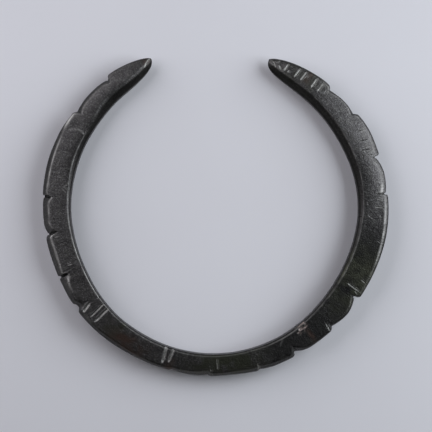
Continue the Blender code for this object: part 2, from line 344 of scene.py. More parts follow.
# How many points of the mesh lie between one corner and the next
EDGE_POINTS = (2, 4, 4, 7, 8, 4, 4, 4, 7, 8, 6, 5, 3, 3, 2, 2, 3, 4)
POINTS_ROUND = sum(EDGE_POINTS)
INNER_ARRIS = sum(EDGE_POINTS[:4])
OUTER_ARRIS = sum(EDGE_POINTS[:9])


def lower_face(width, half):
    """Corners of the rounded lower half of the outer face, from the side down to the underside."""
    bevel = min(LOWER_BEVEL, MOST_LOWER_SHARE * width)
    face = []
    for k in reversed(range(LOWER_STEPS)):
        angle = LOWER_ANGLE + (math.pi / 2 - LOWER_ANGLE) * k / LOWER_STEPS
        reach = (math.sin(angle) - math.sin(LOWER_ANGLE)) / (1 - math.sin(LOWER_ANGLE))
        depth = half * math.cos(angle) / math.cos(LOWER_ANGLE)
        face.append((width - bevel + bevel * reach, -depth))
    return face


def corners(clock):
    """(radius, height) of each corner of the section, and the run that each is averaged over."""
    bore, full_outer, outer = outlines(clock)
    width = outer - bore
    half = height_at(clock) / 2
    slope, shallow, steep = bands(clock, width)
    foot = min(FOOT_BEVEL, MOST_FOOT_SHARE * width)
    pitch = PITCH_AT_BACK + (PITCH_ON_ARMS - PITCH_AT_BACK) * slope_share(clock)
    slope_depth = min(pitch * slope, MOST_SLOPE_DEPTH * half)
    fullness = (2 * half / BAR_HEIGHT) ** 2
    lean = swell_at(clock, LEANS) * fullness
    curve = swell_at(clock, LEAN_CURVES)
    crown = swell_at(clock, CROWNS) * fullness

    def top_height(across):
        """The top keeps its own surface where a notch bites into the outline."""
        q = (across - slope) / (full_outer - bore - slope)
        return half - lean * q**curve + crown * 4 * q * (1 - q)

    arris = width - shallow - steep
    top = [slope + (arris - slope) * k / TOP_PARTS for k in range(1, TOP_PARTS + 1)]
    band_top = top_height(arris) - SHALLOW_PITCH * shallow
    band_foot = band_top - STEEP_PITCH * steep
    lower = lower_face(width, half)
    points = [
        (foot, -half),
        (0.0, -half + FOOT_PITCH * foot),
        (0.0, half - slope_depth),
        (KNEE_ACROSS * slope, half - KNEE_FALL * slope_depth),
        (slope, half),
        *[(across, top_height(across)) for across in top],
        (width - steep, band_top),
        (width - BAND_FOOT_IN * steep, band_foot),
        (width, (band_foot + min(band_foot, 0.0)) / 2),
        *lower,
        ((foot + lower[-1][0]) / 2, -half),
    ]
    inner = ARRIS_RUN + swell_at(clock, INNER_SOFTNESS)
    inner += (SOFT_RUN - inner) * float(ramp(clock, SOFT_FROM, SOFT_TO))
    rim = ARRIS_RUN + swell_at(clock, OUTER_SOFTNESS)
    runs = [FOOT_RUN, WALL_RUN, KNEE_RUN, KNEE_RUN, inner]
    runs += [TOP_RUN] * (TOP_PARTS - 1) + [rim, BAND_RUN, SIDE_RUN, SIDE_RUN]
    runs += [SIDE_RUN] * LOWER_STEPS + [TOP_RUN]
    size = math.sqrt(min(1.0, head_share(clock) * RUN_GROWTH))
    return np.array([(bore + x, BAR_HEIGHT / 2 + y) for x, y in points]), np.array(runs) * size


print("corners of the section", len(corners(180)[0]))

# %% Points round the section
def section(clock):
    """The mesh's points round the section: the polygon of corners, averaged over short runs."""
    points, runs = corners(clock)
    count = len(points)
    # Three times round, because a run may start before the first corner or end after the last
    three_times = np.concatenate([points, points, points, points[:1]])
    lengths = np.hypot(*np.diff(three_times, axis=0).T)
    reach = np.concatenate([[0.0], np.cumsum(lengths)])
    halves = (three_times[1:] + three_times[:-1]) / 2 * lengths[:, None]
    total = np.concatenate([[[0.0, 0.0]], np.cumsum(halves, axis=0)])

    def summed_to(s):
        """The points of the polygon, summed along it up to a length."""
        k = np.clip(np.searchsorted(reach, s, side="right") - 1, 0, len(lengths) - 1)
        t = (s - reach[k])[:, None]
        rise = (three_times[k + 1] - three_times[k]) / lengths[k][:, None]
        return total[k] + three_times[k] * t + rise * t * t / 2

    at_corner = np.concatenate([[0], np.cumsum(EDGE_POINTS)])
    number = np.arange(POINTS_ROUND)
    s = np.interp(number, at_corner, reach[count : 2 * count + 1])
    run = np.interp(number, at_corner, np.append(runs, runs[0]))
    return (summed_to(s + run) - summed_to(s - run)) / (2 * run[:, None])


print("points round the section", POINTS_ROUND, "arrises at", INNER_ARRIS, OUTER_ARRIS)

# %% [markdown]
# ## The cuts
#
# A chisel stroke is a V with a raised burr along each side, and it runs out at both ends. A nick is
# the same V, sawn over the outer edge with a knife file, and a scoop is what a round file leaves.
# Each is described by where it lies and how wide and deep it is. The mesh needs many more steps
# along the bar where it crosses a cut than between cuts, so the cuts come before the mesh.

# %% The cuts
# A nick is sawn straight across and its V stays dark, so it has no lead and no shine
Nick = namedtuple("Nick", "clock share width depth lead shine", defaults=(0.0, 0.0))
NICKS = rows_in_mm(
    Nick, "width depth",
    (73.3, 0.84, 0.45, 0.24), (86.1, 0.58, 0.36, 0.42), (123.8, 0.76, 0.50, 0.28),
    (152.0, 0.80, 0.45, 0.22), (245.2, 0.54, 0.60, 0.50), (260.2, 0.72, 0.42, 0.26),
    (272.9, 0.62, 0.44, 0.34),
)
SCOOPS = rows_in_mm(
    Nick, "width depth",
    (233.8, 0.50, 1.9, 0.40), (319.0, 0.72, 0.9, 0.20),
)
# Start and end are shares of the bar's width, and lead is how many degrees a stroke slants
Stroke = namedtuple("Stroke", "clock start end width depth lead shine")
STROKES = rows_in_mm(
    Stroke, "width depth",
    (27.0, 0.46, 0.90, 0.40, 0.18, 0.5, 0.8), (31.6, 0.44, 0.92, 0.42, 0.20, 0.3, 0.7),
    (34.2, 0.46, 0.92, 0.40, 0.20, 0.2, 0.7), (38.8, 0.46, 0.93, 0.42, 0.20, -0.3, 0.7),
    (41.6, 0.50, 0.93, 0.40, 0.20, -0.3, 0.7), (90.8, 0.52, 0.86, 0.30, 0.12, 0.3, 0.5),
    (117.5, 0.72, 0.87, 0.30, 0.14, 0.4, 0.5), (121.0, 0.36, 0.88, 0.34, 0.18, 0.5, 0.7),
    (137.5, 0.66, 0.97, 0.46, 0.22, 0.6, 0.4), (165.4, 0.66, 1.12, 0.44, 0.24, 0.3, 0.6),
    (179.6, 0.18, 0.72, 0.24, 0.09, -0.3, 0.15), (181.8, 0.62, 0.98, 0.32, 0.12, -0.2, 0.1),
    (196.8, 0.00, 0.68, 0.56, 0.22, 0.5, 0.45), (199.2, -0.04, 0.80, 0.60, 0.24, -0.5, 0.45),
    (226.3, -0.02, 0.80, 0.64, 0.26, -0.1, 0.55), (228.6, 0.00, 0.80, 0.46, 0.20, -0.5, 0.5),
    (231.8, 0.42, 0.86, 0.76, 0.28, -1.2, 0.6),
)
# Slips of the chisel and scratches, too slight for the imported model
SLIPS = rows_in_mm(
    Stroke, "width depth",
    (22.2, 0.38, 0.80, 0.36, 0.14, -2.2, 0.9), (23.5, 0.68, 0.93, 0.30, 0.10, 0.8, 0.5),
    (24.9, 0.42, 0.64, 0.46, 0.16, -1.2, 0.7), (28.4, 0.48, 0.62, 0.34, 0.10, 0.0, 0.6),
    (35.2, 0.66, 0.80, 0.34, 0.08, 0.6, 0.5), (44.0, 0.62, 0.84, 0.28, 0.08, 0.2, 0.3),
    (62.6, 0.62, 0.86, 0.26, 0.09, 0.5, 0.0), (66.2, 0.52, 0.84, 0.26, 0.10, 0.6, 0.0),
    (69.6, 0.46, 0.78, 0.30, 0.12, 0.7, 0.0), (71.8, 0.60, 0.80, 0.22, 0.08, 0.4, 0.0),
    (88.0, 0.60, 0.80, 0.20, 0.07, 0.4, 0.3), (94.4, 0.30, 0.50, 0.24, 0.08, 1.3, 0.3),
    (102.8, 0.72, 0.88, 0.22, 0.05, 1.0, 0.1), (122.1, 0.72, 0.86, 0.24, 0.08, 0.6, 0.3),
    (154.8, 0.10, 0.34, 0.22, 0.05, 2.0, 0.2), (247.9, 0.34, 0.50, 0.26, 0.08, 0.2, 0.6),
    (258.9, 0.52, 0.70, 0.34, 0.08, 0.4, 0.4), (275.4, 0.14, 0.34, 0.20, 0.06, 1.6, 0.4),
    (276.4, 0.12, 0.30, 0.20, 0.06, 1.6, 0.4), (277.4, 0.12, 0.30, 0.20, 0.06, -1.2, 0.4),
    (334.1, 0.34, 0.84, 0.74, 0.16, 3.2, 1.0),
)
print("strokes", len(STROKES), "slips", len(SLIPS), "nicks", len(NICKS), "scoops", len(SCOOPS))

# %% [markdown]
# ## Stations along the bar
#
# The bar is made of a row of sections, and each one stands at a station. The stations follow a
# density, which is 1 on the plain bar and rises at each cut and at both tips, where the form
# changes within a millimetre.

# %% Stations along the bar
SPIN_STEPS = 140
CUTS_PER_STEP = 7
STATIONS = SPIN_STEPS * (CUTS_PER_STEP + 1)
CLOSER_AT_CUTS = 3.0
CUT_REACH = 1.1
CUT_CORE = 0.6
CLOSER_AT_TIPS = 6.0
TIP_REACH_MM = 0.3
TIP_START = 0.0006
FINE_CLOCKS = 40001


def station_clocks():
    """Clock angles of the mesh's sections, close together at cuts and tips."""
    first = RIGHT_ARM.tip + TIP_START * head_degrees(RIGHT_ARM)
    last = 360 - LEFT_ARM.tip - TIP_START * head_degrees(LEFT_ARM)
    fine = np.linspace(first, last, FINE_CLOCKS)
    density = np.ones_like(fine)
    for cut in (*NICKS, *STROKES, *SLIPS):
        reach = math.degrees(CUT_REACH * cut.width / MID_RADIUS) + abs(cut.lead) / 2
        density += CLOSER_AT_CUTS * (1 - ramp(np.abs(fine - cut.clock), CUT_CORE * reach, reach))
    density = np.minimum(density, 1 + CLOSER_AT_CUTS)
    for tip in (first, last):
        mm_away = np.radians(np.abs(fine - tip)) * MID_RADIUS / MM
        density += CLOSER_AT_TIPS * np.exp(-mm_away / TIP_REACH_MM)
    reach = np.concatenate([[0.0], np.cumsum((density[1:] + density[:-1]) / 2)])
    return np.interp(np.linspace(0, reach[-1], STATIONS + 1), reach, fine)


clocks = station_clocks()
steps = np.radians(np.diff(clocks)) * MID_RADIUS / MM
print("stations", len(clocks), "mm apart, least and most", round(steps.min(), 3), round(steps.max(), 3))

# %% [markdown]
# ## Spinning a tube
#
# A bar that follows a hoop is what the Spin tool makes: a closed ring of points, swept round an axis.
# Spinning the real section would fix its shape all the way round, and this bar changes from tip to
# tip. So a plain circle is spun, and each vertex of the tube is then moved to the section that
# belongs at its place. The tube is only there to give the mesh its rows of clean four-sided faces.

# %% Spin a tube
TUBE_RADIUS = 2.5 * MM

# An edge that spans more degrees than this runs along the bar
LEAST_TURN = 0.5


def clock_at(point):
    """Clock angle of a point in the scene."""
    return math.degrees(math.atan2(point.x, point.y)) % 360


def edge_turn(edge):
    """How many degrees of the hoop an edge spans."""
    near, far = edge.verts
    return clock_at(near.co) - clock_at(far.co)


def spin_tube():
    """A round tube along the open hoop, with each vertex's station and point numbers."""
    shape = bmesh.new()
    open_arc = 360 - LEFT_ARM.tip - RIGHT_ARM.tip
    upright = Matrix.Rotation(math.radians(90), 4, "X")
    out = Matrix.Translation((MID_RADIUS, 0, BAR_HEIGHT / 2))
    round_to_tip = Matrix.Rotation(math.radians(90 - RIGHT_ARM.tip), 4, "Z")
    bmesh.ops.create_circle(
        shape, segments=POINTS_ROUND, radius=TUBE_RADIUS, matrix=round_to_tip @ out @ upright
    )
    bmesh.ops.spin(
        shape,
        geom=[*shape.verts, *shape.edges],
        axis=(0, 0, 1),
        angle=-math.radians(open_arc),
        steps=SPIN_STEPS,
        use_merge=False,
    )
    lengthwise = [edge for edge in shape.edges if abs(edge_turn(edge)) > LEAST_TURN]
    bmesh.ops.subdivide_edges(shape, edges=lengthwise, cuts=CUTS_PER_STEP, use_grid_fill=True)
    numbers = []
    for vertex in shape.verts:
        x, y, z = vertex.co
        clock = clock_at(vertex.co)
        turn = math.atan2(z - BAR_HEIGHT / 2, math.hypot(x, y) - MID_RADIUS) / math.tau
        station = round((clock - RIGHT_ARM.tip) / open_arc * STATIONS)
        numbers.append((station, round(-turn * POINTS_ROUND) % POINTS_ROUND))
    return shape, np.array(numbers)


tube, numbers = spin_tube()
print("tube", len(tube.verts), "vertices", len(tube.faces), "faces")
print("places on the grid", len(set(map(tuple, numbers))))

# %% [markdown]
# ## Working the bar
#
# The rest of the shaping happens on a grid of numbers, one row for each station and one column for
# each point round the section, which is quick even for ninety thousand points. The order of work is
# the smith's: the plain bar first, then the file, then the chisel, and last the wear.

# %% The plain bar
# How far up a normal points where a face begins to count as the top, and where it counts in full
TOP_STARTS = 0.1
TOP_FULL = 0.4
TINY = 1e-12

flat_points = np.array([section(clock) for clock in clocks])
radius = flat_points[:, :, 0]
height = flat_points[:, :, 1]
clock_of = clocks[:, None] * np.ones_like(radius)
edges = np.array([outlines(clock) for clock in clocks])
share = (radius - edges[:, :1]) / (edges[:, 2:] - edges[:, :1])
reach_mm = np.radians(clock_of) * MID_RADIUS / MM
unbent = np.stack([reach_mm, radius / MM, height / MM], axis=-1)


def outward(points):
    """Unit normals of the grid of points, pointing out of the bar."""
    along = np.gradient(points, axis=0)
    round_section = np.roll(points, -1, axis=1) - np.roll(points, 1, axis=1)
    normals = np.cross(along, round_section)
    normals /= np.linalg.norm(normals, axis=-1, keepdims=True) + TINY
    middle = points.mean(axis=1, keepdims=True)
    side = np.sign(((points - middle) * normals).sum(axis=(1, 2), keepdims=True))
    return normals * side


angle = np.radians(clock_of)
points = np.stack([np.sin(angle) * radius, np.cos(angle) * radius, height], axis=-1)
normals = outward(points)
column = np.arange(POINTS_ROUND)[None, :]
up_facing = ramp(normals[:, :, 2], TOP_STARTS, TOP_FULL)
print("bar width at the back, mm", round(float(np.ptp(radius[STATIONS // 2])) / MM, 2))

# %% [markdown]
# ## Noise with a size
#
# Nothing made by hand is even. Noise gives smooth hills and hollows, and its scale is the size of
# one hill. It is sampled here on the unbent bar, as if the hoop were still straight, in
# millimetres, so hammer marks, file waves and grain have their real sizes. Each layer has its own
# seed, and the same seed gives the same bar each time.

# %% Noise over the bar
HAMMER_MM = 4.5
FILE_MM = 1.4
SPECK_MM = 0.55
SEED_SHIFT = Vector((17.3, 5.1, 9.7))


def noise_over(size_mm, seed):
    """Smooth noise, from about -1 to 1, over the unbent bar, with bumps of a size in mm."""
    shift = SEED_SHIFT * seed
    rows = (unbent / size_mm).tolist()
    return np.array([[noise.noise(Vector(place) + shift) for place in row] for row in rows])


hammered = noise_over(HAMMER_MM, 1)
filed = noise_over(FILE_MM, 2)
grainy = noise_over(SPECK_MM, 3)
print("noise spread", [round(float(layer.std()), 3) for layer in (hammered, filed, grainy)])

# %% [markdown]
# ## File and chisel
#
# Every cut is worked out as a depth for each point of the grid, and the deepest one wins where two
# cross. The points then sink along their normals by that depth. Chiselling doesn't take metal away,
# it pushes it aside, so a low ridge, the burr, stands along both sides of a stroke.

# %% Chisel strokes, nicks and scoops
# Shares of a stroke's length over which it runs in and out, and of its width that its ends keep
RUN_IN = 0.14
RUN_OUT = 0.18
THINNEST = 0.2
ROUNDED_FLOOR = 0.12
BURR_HEIGHT = 0.028 * MM
BURR_WIDTH = 0.07 * MM
BURR_FULL = 0.5

# How far the grain pushes the line of a cut aside
STROKE_WANDER = 0.03 * MM
NICK_WANDER = 0.02 * MM

# Shares of the bar's width and height over which a nick or scoop runs in
NICK_RUN_IN = 0.16
OVER_FROM = 0.12
NICK_FULL = 0.34
SCOOP_FULL = 0.5

# How deep a cut is where its shine is full, and the most where a burr may stand
SHINE_DEPTH = 0.08 * MM
BURR_DEPTH = 0.01 * MM


def groove(distance, size, width, depth):
    """Depth of a V groove at a distance across it, and the burr thrown up along each side."""
    half = width / 2 * np.maximum(size, THINNEST)
    v = np.maximum(1 - np.abs(distance) / half, 0.0)
    burr = np.exp(-(((np.abs(distance) - half - BURR_WIDTH / 2) / BURR_WIDTH) ** 2))
    shown = ramp(size, 0.0, BURR_FULL)
    return depth * size * (v - ROUNDED_FLOOR * v**2) * (v > 0), BURR_HEIGHT * burr * shown


def stroke_cut(stroke):
    """A chisel stroke on the top, which slants by its lead and runs out at both ends."""
    along = (share - stroke.start) / (stroke.end - stroke.start)
    middle = stroke.clock + stroke.lead * (along - 0.5)
    distance = np.radians(clock_of - middle) * radius + STROKE_WANDER * grainy
    size = np.clip(np.minimum(along / RUN_IN, (1 - along) / RUN_OUT), 0, 1) * up_facing
    return groove(distance, size, stroke.width, stroke.depth)


def over_edge(cut):
    """0 on the top, 1 over the outer edge, and 0 again down on the lower face."""
    over_top = ramp(share, cut.share, cut.share + NICK_RUN_IN)
    return over_top * ramp(height / BAR_HEIGHT, OVER_FROM, NICK_FULL)


def nick_cut(nick):
    """The V that a knife file leaves over the outer edge."""
    distance = np.radians(clock_of - nick.clock) * radius + NICK_WANDER * grainy
    return groove(distance, over_edge(nick), nick.width, nick.depth)


def scoop_cut(scoop):
    """The shallow hollow that a round file leaves over the outer edge."""
    distance = np.radians(clock_of - scoop.clock) * radius
    hollow = np.maximum(1 - (2 * distance / scoop.width) ** 2, 0.0)
    over_top = ramp(share, scoop.share, 1.0)
    return scoop.depth * over_top * ramp(height / BAR_HEIGHT, OVER_FROM, SCOOP_FULL) * hollow


cut_depth = np.zeros_like(radius)
burrs = np.zeros_like(radius)
cut_shine_and_rim_highlight = np.zeros_like(radius)
for make, cuts in ((stroke_cut, (*STROKES, *SLIPS)), (nick_cut, NICKS)):
    for cut in cuts:
        depth, burr = make(cut)
        cut_depth = np.maximum(cut_depth, depth)
        burrs = np.maximum(burrs, burr)
        # Each cut is painted paler by its shine
        cut_shine_and_rim_highlight = np.maximum(cut_shine_and_rim_highlight, cut.shine * ramp(depth, 0, SHINE_DEPTH))
burrs *= cut_depth < BURR_DEPTH
scooped = sum(scoop_cut(scoop) for scoop in SCOOPS)
print("deepest cut, mm", round(float(cut_depth.max()) / MM, 3))

# %% [markdown]
# ## The shelf
#
# On the left arm the filed top ends in a low step, a shelf 0.15 mm high. It shows that the flat was
# cut after the ends were drawn down.

# %% The shelf
SHELF_CLOCK = 298.4
SHELF_MIDDLE = 31.2 * MM
SHELF_BEND = 0.35
SHELF_HALF = 0.9 * MM
SHELF_DEPTH = 0.15 * MM
SHELF_RISER = 0.24 * MM
SHELF_LENGTH = 6 * MM
SHELF_WANDER = 0.04 * MM
SHELF_STARTS = 33.8 * MM
SHELF_FULL = 32.5 * MM

line = SHELF_CLOCK - SHELF_BEND * ((radius - SHELF_MIDDLE) / SHELF_HALF) ** 2
beyond = np.radians(clock_of - line) * radius + SHELF_WANDER * grainy
shelf = SHELF_DEPTH * ramp(beyond, 0, SHELF_RISER) * (1 - ramp(beyond, 0, SHELF_LENGTH))
on_shelf = ramp(radius, SHELF_STARTS, SHELF_FULL) * ramp(column, INNER_ARRIS - 1, INNER_ARRIS + 3)
shelf *= up_facing * on_shelf
print("shelf, deepest, mm", round(float(shelf.max()) / MM, 3))

# %% [markdown]
# ## Facets and a chip
#
# Single file strokes left four small flat facets: one on each head and two beside nicks. Each facet
# is a plane, and whatever stands above it near by is pushed back onto it, as a file would do. A chip
# in the top, on the right of the back, is a ragged patch of noise.

# %% Facets and a chip
# A facet: its middle, how far it reaches, how deep it cuts there, and which way it faces
Facet = namedtuple("Facet", "clock radius size depth tilt faces")
FACETS = rows_in_mm(
    Facet, "radius size depth",
    (334.2, 31.7, 0.8, 0.10, 27, 106),
    (243.6, 33.0, 1.2, 0.08, 27, 282),
    (24.5, 30.6, 1.4, 0.06, 16, 50),
    (84.9, 33.2, 1.1, 0.06, 26, 77),
)


def facet_cut(facet):
    """How far each point stands above the facet's plane, near the facet's middle."""
    plan = direction(facet.faces) * math.sin(math.radians(facet.tilt))
    facing = np.array([plan.x, plan.y, math.cos(math.radians(facet.tilt))])
    near_station = int(np.argmin(np.abs(clocks - facet.clock)))
    on_top = up_facing[near_station] > 0.5
    off = np.where(on_top, np.abs(radius[near_station] - facet.radius), np.inf)
    middle = points[near_station, int(np.argmin(off))]
    away = np.linalg.norm(points - middle, axis=-1)
    above = (points - middle) @ facing + facet.depth
    return np.maximum(above, 0.0) * fade(away, facet.size), facing


faceted = np.zeros_like(points)
for facet in FACETS:
    depth, facing = facet_cut(facet)
    faceted = faceted - depth[:, :, None] * facing
    print("facet", facet.clock, "deepest, mm", round(float(depth.max()) / MM, 3))

CHIP = Nick(145.2, 0.12, 1.6 * MM, 0.14 * MM)
CHIP_SHARES = 0.20
CHIP_SIZE = 1.1
CHIP_RAGGED = 1.8
CHIP_FULL = 0.9
chip_along = np.radians(clock_of - CHIP.clock) * radius / (CHIP.width / 2)
chip_across = (share - CHIP.share) / CHIP_SHARES
chip = ramp(CHIP_SIZE - np.hypot(chip_along, chip_across) + CHIP_RAGGED * grainy, 0, CHIP_FULL)
chip *= up_facing

# %% [markdown]
# ## Wear
#
# Hammer dents, file waves and a fine grain sit on top of everything. They are the same all along
# the bar and slight at the tips, which are drawn thin. Pits are noise too, but only its highest
# peaks, turned downwards.

# %% Wear and unevenness
HAMMER_DENTS = 0.034 * MM
FILE_WAVES = 0.010 * MM
GRAIN = 0.005 * MM
PIT_DEPTH = 0.05 * MM
PITS_START = 0.48
PITS_FULL = 0.66
SKIN_LOSS = 0.02 * MM
TIP_DEGREES = 2
TIP_UNEVENNESS = 0.3

from_first = ramp(clocks, clocks[0], clocks[0] + TIP_DEGREES)
from_last = ramp(clocks, clocks[-1], clocks[-1] - TIP_DEGREES)
unevenness = HAMMER_DENTS * hammered + FILE_WAVES * filed + GRAIN * grainy
unevenness *= (TIP_UNEVENNESS + (1 - TIP_UNEVENNESS) * from_first * from_last)[:, None]
pits = ramp(grainy, PITS_START, PITS_FULL)
inward = cut_depth - burrs + scooped + shelf + CHIP.depth * chip + PIT_DEPTH * pits * up_facing
inward += np.maximum(unevenness + SKIN_LOSS, 0.0)
points = points + faceted - normals * inward[:, :, None]
print("pitted share", round(float((pits > 0.5).mean()), 4))

# %% [markdown]
# ## Closing the mesh
#
# The tube's vertices now take their places, and both open ends are filled and poked, so the mesh is
# a closed skin with no holes. Where a deep cut or a tip folded the mesh over itself, it is smoothed
# first.

# %% Unfold and close the tube
FOLD_ANGLE = math.radians(105)
UNFOLD_PASSES = 12


def unfold(shape):
    """Smooths only the vertices where a deep cut or a thin tip has folded the mesh over itself."""
    for _ in range(UNFOLD_PASSES):
        folded = [edge for edge in shape.edges if edge.calc_face_angle(0.0) > FOLD_ANGLE]
        faces = [face for edge in folded for face in edge.link_faces]
        verts = list(dict.fromkeys(vertex for face in faces for vertex in face.verts))
        bmesh.ops.smooth_vert(
            shape, verts=verts, factor=0.5, use_axis_x=True, use_axis_y=True, use_axis_z=True
        )
    print("folded edges left", len(folded))


def finish_tube(shape, points, numbers):
    """Moves the tube's vertices to their places, then closes both ends."""
    for vertex, (station, point) in zip(shape.verts, numbers):
        vertex.co = points[station, point]
    unfold(shape)
    ends = [edge for edge in shape.edges if edge.is_boundary]
    caps = bmesh.ops.holes_fill(shape, edges=ends, sides=0)["faces"]
    bmesh.ops.poke(shape, faces=caps)
    bmesh.ops.recalc_face_normals(shape, faces=shape.faces)


# %% [markdown]
# ## The piece
#
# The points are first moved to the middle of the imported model's box, and none may stand outside it,
# so the looks don't change the size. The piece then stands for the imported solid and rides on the
# same body.

# %% The piece
middle = (points.reshape(-1, 3).max(axis=0) + points.reshape(-1, 3).min(axis=0)) / 2
cad_middle = [(low + high) / 2 for low, high in zip(*cad_box)]
points = points + (np.array(cad_middle) - middle) * (1, 1, 0)
points = np.clip(points, np.array(cad_box[0]), np.array(cad_box[1]))
finish_tube(tube, points, numbers)
mesh = bpy.data.meshes.new("armilla_bronze")
tube.to_mesh(mesh)
tube.free()
mesh.shade_smooth()
armilla = bpy.data.objects.new("armilla_bronze", mesh)
bpy.context.scene.collection.objects.link(armilla)
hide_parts("armilla_hoop")
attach(armilla, "root")
print("triangles", sum(len(face.vertices) - 2 for face in mesh.polygons))

# %% [markdown]
# ## What the skin follows
#
# The patina isn't the same all over: it wears through on arrises and burrs, and is stained in patches.
# Highlight is also painted along some arrises and the rim, and shade where light doesn't reach. The
# mesh can carry such maps as attributes, one number at each vertex, and the material reads them by name.

# %% Wear, and painted highlight
# How bright each kind of wear and painted highlight is, and how far it spreads round the section
ARRIS_SPREAD_MM = 0.13
RIM_SPREAD_MM = 0.24
RIM_HIGHLIGHT_SPREAD_MM = 0.22
SHELF_WEAR = 0.7
BURR_WEAR = 0.35
WEAR_LEVEL = 0.75
WEAR_BY_FILE = 0.9
WEAR_BY_HAMMER = 0.6

# The inner arris is bright up to the shelf and gone beyond it
ARRIS_KEPT = 297
ARRIS_GONE = 300

# Wear along the outer rim, partly painted highlight where the rim faces a softbox
RIM_WEAR_AND_HIGHLIGHT = (
    Swell(180, 0.16, 900), Swell(84.2, 0.80, 2.4), Swell(100, 0.62, 16), Swell(229, 0.55, 5),
    Swell(242.5, 0.80, 5), Swell(253, 1.20, 18), Swell(267, 0.40, 7), Swell(285, 0.52, 20),
    Swell(300, 1.20, 6),
)
# Wear along the inner arris, partly painted highlight
ARRIS_WEAR_AND_HIGHLIGHT = (
    Swell(180, 0.26, 900), Swell(62, 0.34, 26), Swell(110, 0.14, 24), Swell(150, 0.40, 12),
    Swell(246, 0.60, 26), Swell(291, 0.50, 10),
)
# A painted highlight along the outer rim near 300 degrees
PAINTED_RIM_HIGHLIGHT = Swell(300, 0.9, 4.5)


def near_column(column, spread_mm):
    """1 along an arris, falling off over a distance measured round the section."""
    step = np.linalg.norm(points - np.roll(points, 1, axis=1), axis=-1) / MM
    reach = np.cumsum(step, axis=1)
    return np.exp(-(((reach - reach[:, column : column + 1]) / spread_mm) ** 2))


def over_bar(swells):
    """Sum of swells at each point of the grid."""
    return sum(swell.size * fade(clock_of - swell.clock, swell.spread) for swell in swells)


arris = near_column(INNER_ARRIS, ARRIS_SPREAD_MM) * ramp(clock_of, ARRIS_GONE, ARRIS_KEPT)
rim = near_column(OUTER_ARRIS + 2, RIM_SPREAD_MM)
riser = fade(beyond - SHELF_RISER / 2, SHELF_RISER) * up_facing * on_shelf
# Wear on the arrises, the rim and the shelf's riser, partly painted highlight
wear_and_highlight = over_bar(ARRIS_WEAR_AND_HIGHLIGHT) * arris + over_bar(RIM_WEAR_AND_HIGHLIGHT) * rim + SHELF_WEAR * riser
wear_and_highlight *= np.clip(WEAR_LEVEL + WEAR_BY_FILE * filed + WEAR_BY_HAMMER * hammered, 0, 1)
wear_and_highlight = np.maximum(wear_and_highlight, BURR_WEAR * np.clip(burrs / BURR_HEIGHT, 0, 1))
# Painted highlight along the outer rim near 300 degrees, added to the paler colour of the cuts
cut_shine_and_rim_highlight = np.maximum(cut_shine_and_rim_highlight, over_bar([PAINTED_RIM_HIGHLIGHT]) * near_column(OUTER_ARRIS + 3, RIM_HIGHLIGHT_SPREAD_MM))
print("worn share", round(float((wear_and_highlight > 0.4).mean()), 3))

# %% [markdown]
# ## Painted shade
#
# Shade is painted into the skin, darkest on the slopes towards the bore, on the wall of the bore, low
# on the outer face and inside a scoop. The top of the right part of the back is painted darker too, as
# shade.

# %% Painted shade
RIGHT_SLOPE_SHADE = 0.6
LEFT_SLOPE_SHADE = 0.85
WALL_SHADE = 0.9
SCOOP_SHADE = 0.8
SCOOP_DARK_FROM = 0.02 * MM
SCOOP_DARKEST = 0.20 * MM

# Only the scoop before this clock angle is dark inside
SCOOP_DARK_TO = 300

SIDE_SHADE = (
    Swell(180, 0.55, 900), Swell(150, 0.45, 40), Swell(218, 0.45, 26), Swell(283, 0.30, 22),
    Swell(299.5, -0.60, 5), Swell(307, 0.40, 7), Swell(318, 0.40, 3),
)
# Painted shade on the top of the right part of the back
PAINTED_TOP_SHADE = (Swell(100, 0.45, 18), Swell(116, 0.95, 22), Swell(142, 0.75, 28), Swell(158, 0.35, 12))

# Painted shade on the inner part of the top: a swell, and the shares of the width where it stops and is
# full
PAINTED_INNER_SHADE = ((Swell(80, 0.45, 18), 0.65, 0.25), (Swell(291, 0.60, 24), 0.42, 0.15))

side_column = OUTER_ARRIS + EDGE_POINTS[9]
wall_column = sum(EDGE_POINTS[:3])
arm_share = np.array([slope_share(clock) for clock in clocks])[:, None]
slope_shade = np.where(clock_of < 180, RIGHT_SLOPE_SHADE, LEFT_SLOPE_SHADE)
# Each shade below is painted shade in the skin's colour: the slopes towards the bore, the low outer face,
# the bore wall and the hollow of a scoop
shades = (
    ramp(column, INNER_ARRIS + 1, INNER_ARRIS - 4) * arm_share * slope_shade,
    over_bar(SIDE_SHADE) * ramp(column, side_column - 1, side_column + 3),
    WALL_SHADE * ramp(column, wall_column + 1, wall_column - 2),
    SCOOP_SHADE * ramp(scooped, SCOOP_DARK_FROM, SCOOP_DARKEST) * (clock_of < SCOOP_DARK_TO),
)
painted_shade = np.maximum.reduce([np.broadcast_to(shade, radius.shape) for shade in shades])

# Painted shade on the top: the right part of the back, and the inner part of the top on both arms
painted_top_shade = over_bar(PAINTED_TOP_SHADE)
for swell, stops, full in PAINTED_INNER_SHADE:
    painted_top_shade = painted_top_shade + over_bar([swell]) * ramp(share, stops, full)
painted_top_shade = np.clip(painted_top_shade, 0, 1)
print("sheltered share", round(float((painted_shade > 0.4).mean()), 3))

# %% [markdown]
# ## Stains, and the maps on the mesh
#
# Olive and red-brown patches lie where the green and the red oxide show. They are broken up by the
# same noise as the metal. All the maps then go onto the mesh, with the distance along the bar and
# the radius, which the file lines follow.

# %% Stains, and the maps on the mesh
STAIN_BY_FILE = 1.4
STAIN_BY_HAMMER = 1.2
CUPRITE_STARTS = 0.1
CUPRITE_FULL = 0.6
OLIVE = (Swell(176, 0.8, 22), Swell(219, 0.6, 6), Swell(120, 0.6, 22), Swell(32, 0.55, 16))
CUPRITE = (
    Swell(213, 1.0, 11), Swell(196.5, 0.7, 3), Swell(35.6, 0.6, 2.2), Swell(334, 0.55, 2.5),
    Swell(144, 0.6, 1.5),
)


